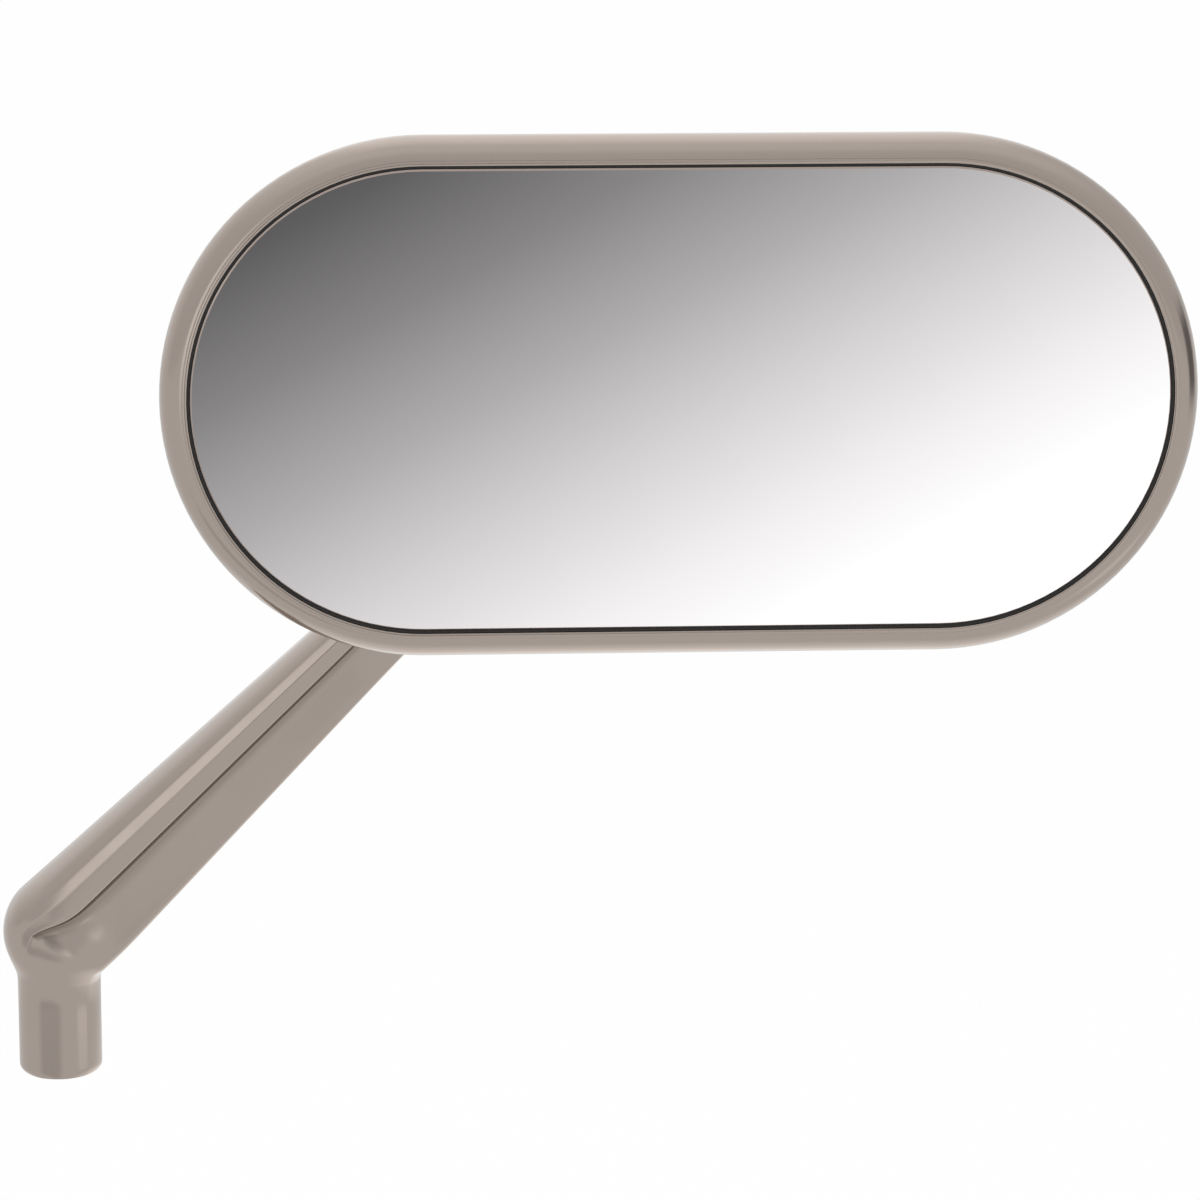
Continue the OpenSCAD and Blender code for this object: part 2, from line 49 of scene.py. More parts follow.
# %% [markdown]
# ## The camera first
# The photograph was taken from far off with a long lens, a little above the mirror and a little to
# the left of square. A camera placed by eye never quite fits, so the head's outline gives the two
# angles and the distance. The camera looks along those angles, and is moved sideways and up so that
# the head's centre falls where it does there.

# %% Camera
HEAD = Vector((108.2, -37.0, 125.6)) * MM
view_down = math.radians(11.419)
view_right = math.radians(3.228)
view_distance = 837.4 * MM
aim_left = 13.97 * MM
aim_below = 33.5 * MM

camera = bpy.data.objects.new("camera", bpy.data.cameras.new("camera"))
bpy.context.scene.collection.objects.link(camera)
camera.rotation_euler = (math.radians(90) - view_down, 0, -view_right)
camera.data.lens = 150
camera.data.sensor_width = 36
camera.data.clip_start = 0.01
turn = camera.rotation_euler.to_matrix()
camera.location = HEAD - turn @ Vector((aim_left, aim_below, -view_distance))
bpy.context.scene.camera = camera
bpy.context.scene.view_settings.view_transform = "Standard"
print("camera at", [round(v, 3) for v in camera.location])


# %% [markdown]
# ## Helpers for materials
# A hex colour is written as a screen shows it, and the renderer wants linear light, so one function
# turns one into the other. A second one adds a node, sets its inputs and links it.

# %% Material helpers
def colour(code):
    """sRGB hex to linear RGBA."""
    parts = [int(code[i:i + 2], 16) / 255 for i in (1, 3, 5)]
    line = [c / 12.92 if c <= 0.04045 else ((c + 0.055) / 1.055) ** 2.4 for c in parts]
    return (*line, 1.0)


def add(tree, kind, links=None, settings=None, **inputs):
    """Adds a node. Settings are its properties, inputs its socket values, links its sources."""
    node = tree.nodes.new(kind)
    for name, value in (settings or {}).items():
        setattr(node, name, value)
    for name, value in inputs.items():
        node.inputs[name.replace("_", " ")].default_value = value
    for name, source in (links or {}).items():
        tree.links.new(source, node.inputs[name])
    return node


def surface(name, **inputs):
    """A material with its Principled shader, whose own sockets hold the constants."""
    material = bpy.data.materials.new(name)
    material.use_nodes = True
    shader = material.node_tree.nodes["Principled BSDF"]
    for key, value in inputs.items():
        shader.inputs[key.replace("_", " ")].default_value = value
    return material, material.node_tree, shader


def grain(tree, shader, size, low, high, bump=0.0, stretch=(1, 1, 1)):
    """Uneven roughness, and a fine bump, whose features are `size` millimetres wide."""
    relief_depth = 0.02 * MM
    place = add(tree, "ShaderNodeTexCoord")
    scaled = add(tree, "ShaderNodeMapping", {"Vector": place.outputs["Object"]}, Scale=stretch)
    noise = add(tree, "ShaderNodeTexNoise", {"Vector": scaled.outputs[0]},
                Scale=1 / (size * MM), Detail=3.0, Roughness=0.55)
    # Most of the noise lies between 0.3 and 0.7.
    spread = add(tree, "ShaderNodeMapRange", {"Value": noise.outputs[0]},
                 From_Min=0.3, From_Max=0.7, To_Min=low, To_Max=high)
    tree.links.new(spread.outputs[0], shader.inputs["Roughness"])
    if bump:
        relief = add(tree, "ShaderNodeBump", {"Height": noise.outputs[0]}, Strength=bump,
                     Distance=relief_depth)
        tree.links.new(relief.outputs[0], shader.inputs["Normal"])


print("white is", colour("#FFFFFF"))

# %% [markdown]
# ## Satin nickel
# The castings are polished zinc alloy with a satin nickel plate. It gives the eye a warm grey metal
# whose reflections are a little soft. Plate follows the polisher's wheel, so its roughness wanders
# slowly. One even value would do from afar, but a wide, slow noise lets the highlights wander too.
# The corner under the arm's ridge gets a painted shade: there the plate's colour is mixed towards a
# darker one. The arm's mesh says where that is, in an attribute.

# %% Finish of the castings
# The second colour is a painted shade for the corner under the arm's ridge.
plate_colour, corner_colour = colour("#B6AAA1"), colour("#75695F")
satin_nickel, tree, shader = surface(
    "satin_nickel_plate", Base_Color=plate_colour, Metallic=1.0, Roughness=0.15)
grain(tree, shader, 6.0, 0.13, 0.17)
# Painted shade: where the attribute is 1, the colour is mixed to the darker one under the ridge.
corner = add(tree, "ShaderNodeAttribute", settings={"attribute_name": "corner"})
painted_shade_mix = add(tree, "ShaderNodeMix", {0: corner.outputs["Fac"]}, {"data_type": "RGBA"})
painted_shade_mix.inputs[6].default_value = plate_colour
painted_shade_mix.inputs[7].default_value = corner_colour
tree.links.new(painted_shade_mix.outputs[2], shader.inputs["Base Color"])
print(satin_nickel.name, "nodes:", len(tree.nodes))

# %% [markdown]
# ## Mirror glass
# The silver lies on the back of the glass, and what the eye sees is a plain, sharp reflection with
# a hint of the glass's colour. A clear slab over a silver sheet could show that, but a metal with
# almost no roughness gives the same picture with one surface.

# %% Finish of the glass
silvered_glass, tree, shader = surface(
    "silvered_glass", Base_Color=colour("#FCF9FA"), Metallic=1.0, Roughness=0.004)
grain(tree, shader, 30.0, 0.002, 0.006)
print(silvered_glass.name, "nodes:", len(tree.nodes))

# %% [markdown]
# ## Rubber, plastic and steel
# The bead round the glass is moulded EPDM rubber. Behind the glass hides the mechanism: nylon
# liners, a carrier moulded in glass-filled nylon, a foam pad, zinc-plated steel, bare spring steel
# and black-oxide screws. Plain colours could do for parts that hide, but someone may take the
# mirror apart, so each has the grain of its own making, 0.3 to 1.2 mm wide.

# %% Finish of the rubber bead
# Moulded rubber is nearly black and dull, with a fine uneven skin.
epdm, tree, shader = surface("epdm_rubber", Base_Color=colour("#1B1816"), Roughness=0.5)
grain(tree, shader, 0.4, 0.42, 0.6, bump=0.3)
print(epdm.name, "nodes:", len(tree.nodes))

# %% Finishes of the steel parts
# Bright zinc plate on turned steel: a cool, slightly cloudy grey.
zinc_plate, tree, shader = surface(
    "zinc_plated_steel", Base_Color=colour("#C3C4C6"), Metallic=1.0, Roughness=0.25)
grain(tree, shader, 1.2, 0.2, 0.34, bump=0.15)

# Hardened and tumbled spring steel: darker, with the mill's lines in it.
spring_steel, tree, shader = surface(
    "bare_spring_steel", Base_Color=colour("#84868A"), Metallic=1.0, Roughness=0.3)
grain(tree, shader, 0.8, 0.26, 0.4, bump=0.2, stretch=(1, 1, 6))

# Black oxide from a hot bath: almost black, with the steel's shine under it.
black_oxide, tree, shader = surface(
    "black_oxide_steel", Base_Color=colour("#3E3E40"), Metallic=1.0, Roughness=0.4)
grain(tree, shader, 0.6, 0.35, 0.5, bump=0.2)
print("steel finishes:", zinc_plate.name, spring_steel.name, black_oxide.name)

# %% Finishes of the plastic parts
# Moulded natural nylon: the white of a tooth, waxy.
nylon, tree, shader = surface("moulded_nylon", Base_Color=colour("#E8E4DA"), Roughness=0.4)
grain(tree, shader, 0.7, 0.36, 0.48, bump=0.2)

# Glass-filled nylon: charcoal, and rougher, because fibres lie in its skin.
filled_nylon, tree, shader = surface(
    "glass_filled_nylon", Base_Color=colour("#2A2A2C"), Roughness=0.5)
grain(tree, shader, 0.5, 0.45, 0.6, bump=0.5)

# Acrylic foam, cut from sheet: matt, with open cells.
foam, tree, shader = surface("acrylic_foam", Base_Color=colour("#3A3A3C"), Roughness=0.85)
grain(tree, shader, 0.3, 0.8, 0.95, bump=0.8)
print("plastic finishes:", nylon.name, filled_nylon.name, foam.name)

# %% Each node gets its finish
finishes = {
    "mirror_glass": silvered_glass, "rim_seal": epdm,
    "ball_stud": zinc_plate, "flat_washer": zinc_plate, "cap_nut": zinc_plate,
    "pressure_cup": zinc_plate, "thrust_shim": zinc_plate, "pressure_plate": zinc_plate,
    "spring_washer": spring_steel,
    "disc_spring_inner": spring_steel, "disc_spring_outer": spring_steel,
    "plate_screws": black_oxide, "carrier_screws": black_oxide,
    "liner_rear": nylon, "liner_front": nylon,
    "carrier_plate": filled_nylon, "bonding_pad": foam,
    "arm": satin_nickel, "head_shell": satin_nickel,
}
for name, material in finishes.items():
    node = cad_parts[name]
    node.data.materials.clear()
    node.data.materials.append(material)
print("finished nodes:", len(finishes))


# %% [markdown]
# ## Making a piece from rings
# A casting could be modelled from blocks, which are cut and rounded. Here both are skins over
# closed rings of points, because a ring is easy to work out from sizes. One helper joins
# the rings with quads, closes the ends if they are open, and turns the faces outwards. Turned
# shapes, such as a bore, come from a profile, and a boolean joins or cuts them.

# %% Skin helpers
def piece(name, mesh, material, body, node=None):
    """Puts a finished mesh in the scene, on its body, in place of a node if one is named."""
    obj = bpy.data.objects.new(name, mesh)
    bpy.context.scene.collection.objects.link(obj)
    mesh.materials.clear()
    mesh.materials.append(material)
    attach(obj, body)
    if node:
        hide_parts(node)
    print(name, "faces:", len(mesh.polygons))
    return obj


def skin(name, rings, closed=False, caps=True):
    """A mesh over rings of equally many points, in millimetres."""
    mesh = bpy.data.meshes.new(name)
    work = bmesh.new()
    rows = [[work.verts.new(Vector(p) * MM) for p in ring] for ring in rings]
    count = len(rows[0])
    for a, b in list(zip(rows, rows[1:])) + ([(rows[-1], rows[0])] if closed else []):
        for i in range(count):
            j = (i + 1) % count
            work.faces.new([a[i], a[j], b[j], b[i]])
    if caps and not closed:
        work.faces.new(rows[0])
        work.faces.new(rows[-1][::-1])
    bmesh.ops.remove_doubles(work, verts=work.verts, dist=0.001 * MM)
    bmesh.ops.dissolve_degenerate(work, edges=work.edges, dist=0.0005 * MM)
    bmesh.ops.recalc_face_normals(work, faces=work.faces)
    work.to_mesh(mesh)
    work.free()
    return mesh


def revolved(name, profile, centre, direction, steps=96):
    """A turned solid: (radius, height) points, in millimetres, round an axis through `centre`."""
    on_axis = 1e-4
    aim = Vector(direction).to_track_quat("Z", "Y").to_matrix()
    angles = [2 * math.pi * k / steps for k in range(steps)]
    rings = []
    for r, h in profile:
        wide = max(r, on_axis)
        rings.append([Vector(centre) + aim @ Vector((wide * math.cos(a), wide * math.sin(a), h))
                      for a in angles])
    return skin(name, rings)


def turned_ring(name, profile, centre, direction, steps=96):
    """A turned ring from a closed profile that stays off the axis."""
    aim = Vector(direction).to_track_quat("Z", "Y").to_matrix()
    rings = []
    for k in range(steps):
        a = 2 * math.pi * k / steps
        spoke = Vector((math.cos(a), math.sin(a), 0))
        rings.append([Vector(centre) + aim @ (spoke * r + Vector((0, 0, h))) for r, h in profile])
    return skin(name, rings, closed=True)


# %% Helpers that finish a mesh
def evaluated_mesh(obj):
    """The plain mesh that an object's modifiers make."""
    bpy.context.view_layer.update()
    graph = bpy.context.evaluated_depsgraph_get()
    return bpy.data.meshes.new_from_object(obj.evaluated_get(graph))


def cut(mesh, tool, how="DIFFERENCE"):
    """The mesh after a boolean between closed solids."""
    base = bpy.data.objects.new("base", mesh)
    other = bpy.data.objects.new("other", tool)
    for obj in (base, other):
        bpy.context.scene.collection.objects.link(obj)
    step = base.modifiers.new("cut", "BOOLEAN")
    step.object = other
    step.operation = how
    step.solver = "MANIFOLD"
    result = evaluated_mesh(base)
    for obj in (base, other):
        bpy.data.objects.remove(obj)
    return result


def soften(mesh, angle=35):
    """Smooth shading with the real edges kept sharp."""
    mesh.shade_smooth()
    mesh.set_sharp_from_angle(angle=math.radians(angle))
    return mesh


# %% [markdown]
# ## The arm
# The arm is one casting. A section runs up the round boss, turns as a fan about the inner corner of
# the elbow, and goes straight to the head. On its way it grows from a circle into a bar whose upper
# half stands as a ridge over a sunk, flat lower half. It could be sculpted, or joined from blocks,
# but a skin over sections keeps the ridge one clean form from end to end. The sizes below are in
# millimetres, and one function gives the section at each place. A subdivision surface then rounds
# the cage, as a polisher's wheel would.

# %% Sizes of the arm
# Radius of the round boss, and the round at its foot.
boss_r = 7.4
boss_round = 1.4
# Centre and radius of the elbow's round back, and how much narrower the arm gets on its way.
elbow = Vector((0.5, 25.7))
elbow_r = 10.2
arm_taper = 0.0448
# Round in the inner corner between the boss and the arm.
inner_fillet = 3.0
# How far ridge, sunk floor and back lie from the arm's middle plane.
crest_h, floor_h, back_h = 9.6, 6.8, 7.4
# The round end pad behind the head, and how far the arm stays inside its rim.
eye_r, eye_t, loft_inset = 9.5, 11.0, 0.3
# The arm's middle line is turned this many degrees up from the straight way to the pad's centre.
arm_aim = 1.3
head_spot = Vector((108.2, 125.6))

arm_angle = math.atan2(head_spot.y - elbow.y, head_spot.x - elbow.x) + math.radians(arm_aim)
along = Vector((math.cos(arm_angle), math.sin(arm_angle)))
across = Vector((-math.sin(arm_angle), math.cos(arm_angle)))
taper_k = math.hypot(1, arm_taper)
half_w0 = elbow_r * taper_k
eye_t_pos = (head_spot - elbow).dot(along)
eye_w_pos = (head_spot - elbow).dot(across)
pad_face = eye_t / 2 - 0.1
print("arm leans", round(math.degrees(arm_angle), 1), "degrees, width", round(2 * half_w0, 1))

# %% The bend of the elbow
# The bend turns about the point that lies one fillet away from the boss's side and from the arm's.
bend_t = ((boss_r + inner_fillet - elbow.x
           - (half_w0 + inner_fillet * taper_k) * math.sin(arm_angle))
          / (math.cos(arm_angle) - arm_taper * math.sin(arm_angle)))
bend_w = arm_taper * bend_t - half_w0 - inner_fillet * taper_k
bend = elbow + bend_t * along + bend_w * across
bend_angle = math.pi / 2 - arm_angle
to_elbow = elbow - bend

# The section's path starts on the boss, goes round the bend and along the arm. On the boss's last
# millimetres it leaves the circle, and a small round blends the boss into the elbow's back.
neck_run, neck_blend = 4.2, 2.2
neck_z = bend.y - neck_run
bend_end = neck_run + to_elbow.length * bend_angle
# Where the ridge and the sunk floor begin, and where they have their full form.
form_start, form_end = 8.0, bend_end + 8.0
# Behind the head the arm flares out to the pad, the ridge fades, and the floor lies below the pad.
flare_start, fade_run, pad_step = 75.0, 26.0, 1.2

# The ridge's edge lies a little above the middle. At its low end it hooks up and round the elbow.
ridge_w, ridge_low, ridge_start, ridge_hook = 1.1, 1.2, 0.75, 3.2
ridge_tip = neck_run + (bend_end - neck_run) * ridge_start
hook_start = bend_end + 6.0
ridge_settle = 12
# A shallow notch keeps the edge visible where the ridge begins, and it deepens over a short way.
notch_cut, notch_ramp = 0.1, 5
print("bend turns about", bend[:], "and ends", round(bend_end, 1), "mm up the path")


# %% Shape rules of the arm
def mix(a, b, k):
    """The value a share k of the way from a to b."""
    return a + (b - a) * k


def smooth(x):
    """A soft step from 0 to 1."""
    c = min(1.0, max(0.0, x))
    return c * c * (3 - 2 * c)


def ridge_edge(path):
    """Where the ridge's edge lies across the arm, at one place of the path."""
    hook = min(1, max(0, (hook_start - path) / (hook_start - ridge_tip)))
    place = mix(ridge_low, ridge_w, smooth((path - bend_end) / ridge_settle))
    return place + ridge_hook * hook ** 2


def half_width(t, side):
    """Half-width of the arm on one side, flaring to the end pad behind the head."""
    if t < flare_start:
        return half_w0 - arm_taper * t
    run = eye_t_pos - flare_start
    x = (t - flare_start) / run
    start, end = half_w0 - arm_taper * flare_start, eye_r - loft_inset + side * eye_w_pos
    return ((2 * x ** 3 - 3 * x * x + 1) * start + (x ** 3 - 2 * x * x + x) * -arm_taper * run
            + (3 * x * x - 2 * x ** 3) * end)


def outer_reach(a):
    """Way from the bend's centre to the elbow's outer face, at one angle of the bend."""
    heading = Vector((-math.cos(a), math.sin(a)))
    near = to_elbow.dot(heading)
    half_chord = math.sqrt(max(0, near * near - to_elbow.length_squared + elbow_r ** 2))
    round_reach = near + half_chord
    if a >= bend_angle / 2:
        return round_reach
    boss_reach = (bend.x + boss_r) / math.cos(a)
    fill = max(neck_blend - abs(round_reach - boss_reach), 0) ** 2 / (4 * neck_blend)
    return max(round_reach, boss_reach) + fill


# %% The arm's section
# Fall of the ridge's top, as (share of its width, depth): rim, slope, flat crest and light edge.
crest = ((1.05, 0.62), (1, 0.4), (0.81, 0.22), (0.62, 0.04), (0.56, 0.02), (0.28, 0.24), (0, 0.5))
notch_reach = 3
cove_steps = 6


def bar_outline(lo, hi, top, bed, back, edge):
    """Outline of the ridged bar and, for each point, how far the ridge's notch reaches it."""
    s = (hi - lo) / 2 / half_w0
    back_round, front_round, corner_r, cove_w = 4.5 * s, 3 * s, 1.1 * s, 2.2 * s
    rim_h, lip_h = top - 0.35 * s, top - 0.5 * s
    band = min(6.1 * s, hi - 2.3 * s - edge)
    rad = math.radians
    # The upper side: its round to the back, its round to the front, and the ridge's top.
    points = [(hi - back_round + back_round * math.cos(rad(a)), back * math.sin(rad(a)))
              for a in range(-90, 1, 18)]
    points += [(hi - front_round + front_round * math.cos(rad(a)), rim_h * math.sin(rad(a)))
               for a in range(12, 61, 12)]
    points += [(edge + k * band, top - drop * s) for k, drop in crest]
    # The cove under the ridge's edge, and the sunk floor.
    first = len(points)
    for i in range(1, cove_steps + 1):
        a = rad(90 * i / cove_steps)
        points.append((edge - 0.08 * s - cove_w * (1 - math.cos(a)), mix(lip_h, bed, math.sin(a))))
    points += [(mix(edge - cove_w, lo + corner_r, k), bed) for k in (0.25, 0.5, 0.75, 1)]
    # The lower side: its small front corner, its flat face, and its round to the back.
    points += [(lo + corner_r - corner_r * math.cos(rad(a)),
                bed - corner_r * (1 - math.sin(rad(a)))) for a in (60, 30, 0)]
    points += [(lo, (bed - corner_r) * k) for k in (0.75, 0.5, 0.25)]
    points += [(lo + back_round * (1 - math.cos(rad(a))), -back * math.sin(rad(a)))
               for a in range(0, 91, 18)]
    points += [(mix(lo + back_round, hi - back_round, k), -back) for k in (0.33, 0.67)]
    notch = [math.sin(math.pi * (i - first + 1) / (notch_reach + 1))
             if first <= i < first + notch_reach else 0 for i in range(len(points))]
    return points, notch


def section(lo, hi, path, edge=0.0, notch=0.0, out=0.0, fade=0.0):
    """Section at one place of the path: a round form that turns into the ridged bar."""
    grown = smooth(path / bend_end)
    top = mix(mix(boss_r, crest_h, grown), pad_face, out)
    bed = mix(mix(boss_r, floor_h, grown), pad_face - pad_step, out)
    back = mix(mix(boss_r, back_h, grown), pad_face, out)
    form = smooth((path - form_start) / (form_end - form_start))
    n, half, mid = 2 + grown, (hi - lo) / 2, (lo + hi) / 2
    points, reached = bar_outline(lo, hi, top, bed, back, edge)
    result = []
    for (w, f), share in zip(points, reached):
        a = math.atan2(f, w - mid)
        c, d = math.cos(a), math.sin(a)
        size = (abs(c) / half) ** n + (abs(d) / (top if f > 0 else back)) ** n
        r = size ** (-1 / n)
        k = (form + (1 - form) * notch * share) * (1 - fade)
        result.append((mid + mix(r * c, w - mid, k), mix(r * d, f, k)))
    return result


def placed(start, heading, points):
    """A section set in the part's frame: across the arm, towards the rider, and up."""
    return [(start.x + heading.x * w, -f, start.y + heading.y * w) for w, f in points]


# %% The arm's cage
def boss_ring(z, r):
    """A ring of the round boss, at one height."""
    return placed(Vector((0, z)), Vector((-1, 0)),
                  section(-r, r, z - neck_z, ridge_edge(0)))


def bend_ring(k):
    """A ring of the bend, a share k of the way round."""
    a = bend_angle * k
    heading = Vector((-math.cos(a), math.sin(a)))
    near = to_elbow.dot(heading)
    path = mix(neck_run, bend_end, k)
    points = section(
        inner_fillet - near, outer_reach(a) - near, path,
        ridge_edge(path), notch_cut * smooth((path - ridge_tip) / notch_ramp))
    return placed(bend + near * heading, heading, points)


def arm_ring(t):
    """A ring of the straight arm, t millimetres from the elbow's centre."""
    path = bend_end + t - bend_t
    points = section(
        -half_width(t, -1), half_width(t, 1), path, ridge_edge(path), notch_cut,
        t / eye_t_pos, smooth((t - flare_start) / fade_run))
    return placed(elbow + t * along, across, points)


# The rings stand close together at the foot and in the bend, and far apart on the straight arm.
rings = [boss_ring(boss_round * (1 - math.cos(a)), boss_r - boss_round * (1 - math.sin(a)))
         for a in (math.radians(15 * k) for k in range(7))]
rings += [boss_ring(mix(boss_round, neck_z, k), boss_r) for k in (0.1, 0.5, 0.9)]
rings += [boss_ring(neck_z + neck_run * k / 4, boss_r) for k in range(4)]
rings += [bend_ring(k / 16) for k in range(17)]
rings += [arm_ring(bend_t + t) for t in (1.5, 3, 5, 7.5, 12, 20, 30, 41, 52, 63)]
rings += [arm_ring(mix(flare_start - 3, eye_t_pos, k / 8)) for k in range(9)]
cage = skin("arm_cage", rings)
print("rings of the arm:", len(rings), "points in each:", len(rings[0]))

# %% [markdown]
# A subdivision surface melts whatever its cage leaves coarse, so the cage's points stand close
# together along the ridge's edge, where the form has to stay crisp. The pad that takes the ball
# stud, and the bores, are turned shapes joined and cut by booleans, because a bore should stay a
# true circle.

# %% The arm's smooth skin
holder = bpy.data.objects.new("arm_cage", cage)
bpy.context.scene.collection.objects.link(holder)
rounder = holder.modifiers.new("polish", "SUBSURF")
rounder.levels = rounder.render_levels = 2
arm_skin = evaluated_mesh(holder)
bpy.data.objects.remove(holder)
print("faces after polishing:", len(arm_skin.polygons))

# %% End pad and bores
pad_centre = (head_spot.x, 0, head_spot.y)
# Each turned edge is broken by a small round, drawn as two facets.
edge_break, edge_mid = 0.6, 0.18
end_pad = revolved("end_pad", [
    (0, -eye_t / 2), (eye_r - edge_break, -eye_t / 2), (eye_r - edge_mid, -eye_t / 2 + edge_mid),
    (eye_r, -eye_t / 2 + edge_break), (eye_r, eye_t / 2 - edge_break),
    (eye_r - edge_mid, eye_t / 2 - edge_mid), (eye_r - edge_break, eye_t / 2), (0, eye_t / 2)],
    pad_centre, (0, -1, 0))

# The nut is 10 mm across its flats, and a socket has to fit round its corners.
nut_well_r, nut_sink, stud_hole_r = 10 / math.sqrt(3) + 0.7, 4.0, 3.05
stud_bore = revolved("stud_bore", [
    (0, -eye_t), (nut_well_r, -eye_t), (nut_well_r, -eye_t / 2 + nut_sink),
    (stud_hole_r, -eye_t / 2 + nut_sink), (stud_hole_r, eye_t), (0, eye_t)],
    pad_centre, (0, -1, 0))

bore_r, bore_depth, drill_tip = 3.4, 16.0, 2
boss_bore = revolved("boss_bore", [
    (0, -1), (bore_r, -1), (bore_r, bore_depth), (0.4, bore_depth + drill_tip),
    (0, bore_depth + drill_tip)], (0, 0, 0), (0, 0, 1))

arm_skin = cut(arm_skin, end_pad, "UNION")
arm_skin = cut(arm_skin, stud_bore)
arm_skin = cut(arm_skin, boss_bore)
print("faces with pad and bores:", len(arm_skin.polygons))

# %% [markdown]
# ## The painted shade under the ridge
# Under the ridge's edge a painted shade is darkest, and it fades within three millimetres. A
# painted image could show that, but it would need a flat map of the arm. Instead each vertex near
# the edge gets a number for the material: 1 at the edge, and 0 where the painted shade ends.

# %% Shade of the corner
# Width of the painted shade and how fast it fades, on the arm and at the ridge's tip.
corner_w, corner_power = 3.2, 1.5
tip_w, tip_power = 1.7, 0.7
tip_lead, tip_ramp = 0.4, 0.5
edge_slack = 0.02
front_y = -4.5 * MM


def ridge_place(point):
    """How far a point lies below the ridge's edge, over the corner's width, and how to shade it."""
    spot = Vector((point.x, point.z)) / MM
    t, w = (spot - elbow).dot(along), (spot - elbow).dot(across)
    if t > bend_t:
        way = (ridge_edge(bend_end + t - bend_t) - w) / (corner_w * (1 - arm_taper * t / half_w0))
        return way, 1 - smooth((t - flare_start) / fade_run), corner_power
    away = spot - bend
    path = mix(neck_run, bend_end, math.atan2(away.y, -away.x) / bend_angle)
    near_tip = smooth((bend_end - path) / (bend_end - ridge_tip))
    w = away.length - to_elbow.dot(away.normalized())
    way = (ridge_edge(path) - w) / mix(corner_w, tip_w, near_tip)
    share = smooth((path - ridge_tip + tip_lead) / tip_ramp)
    return way, share, mix(corner_power, tip_power, near_tip)


def shade_corner(mesh):
    """Writes, for each vertex, how much painted shade it gets under the ridge: 1 at the edge."""
    shade = mesh.attributes.new("corner", "FLOAT", "POINT")
    for vertex in mesh.vertices:
        if vertex.co.y < front_y:
            way, share, power = ridge_place(vertex.co)
            if -edge_slack < way < 1:
                shade.data[vertex.index].value = share * (1 - max(0.0, way)) ** power


# Paints the shade under the ridge into the attribute that the material reads.
shade_corner(arm_skin)
piece("arm_casting", soften(arm_skin), satin_nickel, "arm", "arm")

# %% [markdown]
# ## Thread in the boss
# The boss takes a mirror stud, so its bore has a thread, such as a tap would cut. A loop
# in the script could place its points, but it repeats turn by turn along a helix, which is work for
# Geometry Nodes: a spiral curve carries a small profile with four corners, whose inner half stands
# out of the bore's wall as the thread's tooth.

# %% Thread tree
thread_sizes = (("Radius", bore_r), ("Pitch", 1.25), ("Length", 14.5))
thread_tooth, thread_start = 0.42, 0.9 * MM
thread_tree = bpy.data.node_groups.new("thread", "GeometryNodeTree")
for label, value in thread_sizes:
    socket = thread_tree.interface.new_socket(label, in_out="INPUT", socket_type="NodeSocketFloat")
    socket.default_value = value * MM
thread_tree.interface.new_socket("Finish", in_out="INPUT", socket_type="NodeSocketMaterial")
thread_tree.interface.new_socket("Geometry", in_out="OUTPUT", socket_type="NodeSocketGeometry")

given = add(thread_tree, "NodeGroupInput")
turns = add(thread_tree, "ShaderNodeMath", {0: given.outputs["Length"], 1: given.outputs["Pitch"]},
            {"operation": "DIVIDE"})
helix = add(thread_tree, "GeometryNodeCurveSpiral", {
    "Rotations": turns.outputs[0], "Start Radius": given.outputs["Radius"],
    "End Radius": given.outputs["Radius"], "Height": given.outputs["Length"]}, Resolution=40)
tooth = add(thread_tree, "ShaderNodeMath", {0: given.outputs["Pitch"]}, {"operation": "MULTIPLY"})
tooth.inputs[1].default_value = thread_tooth
profile = add(thread_tree, "GeometryNodeCurvePrimitiveCircle", {"Radius": tooth.outputs[0]},
              Resolution=4)
swept = add(thread_tree, "GeometryNodeCurveToMesh",
            {"Curve": helix.outputs[0], "Profile Curve": profile.outputs[0]})
swept.inputs["Fill Caps"].default_value = True
raised = add(thread_tree, "GeometryNodeTransform", {"Geometry": swept.outputs[0]})
raised.inputs["Translation"].default_value = (0, 0, thread_start)
real = add(thread_tree, "GeometryNodeRealizeInstances", {"Geometry": raised.outputs[0]})
dressed = add(thread_tree, "GeometryNodeSetMaterial",
              {"Geometry": real.outputs[0], "Material": given.outputs["Finish"]})
ended = add(thread_tree, "NodeGroupOutput")
thread_tree.links.new(dressed.outputs[0], ended.inputs[0])
print("nodes of the thread tree:", len(thread_tree.nodes))

# %% The thread itself
carrier = bpy.data.objects.new("thread_base", bpy.data.meshes.new("thread_base"))
bpy.context.scene.collection.objects.link(carrier)
maker = carrier.modifiers.new("thread", "NODES")
maker.node_group = thread_tree
for item in thread_tree.interface.items_tree:
    if item.in_out == "INPUT" and item.name == "Finish":
        maker[item.identifier] = satin_nickel
thread = evaluated_mesh(carrier)
bpy.data.objects.remove(carrier)
piece("stud_thread", thread, satin_nickel, "arm")

# %% [markdown]
# ## The bowl of the head
# The bowl is a racetrack: two straight runs joined by half circles. A flat lip frames the glass, a
# rounded flank leads out to the widest section, and a shallow dome closes the back. A box with
# rounded corners would come close, but the flank's round has to be the same all the way. Here every
# depth has its own radius from the racetrack's centre line, so the bowl is one profile swept round.

# %% Sizes of the bowl
# Radius of the glass's round ends, and half the straight run between them.
glass_r, half_run = 39.0, 43.5
# The gap round the glass, and the lip: its width, how far it stands out, and its outer step.
rim_gap, lip_w, lip_proud, lip_step = 0.5, 0.85, 0.15, 0.3
# Width and depth of the flank, depth of the whole bowl, and its wall.
flank_w, flank_d, shell_d, shell_wall = 3.85, 5.5, 18.5, 2.2
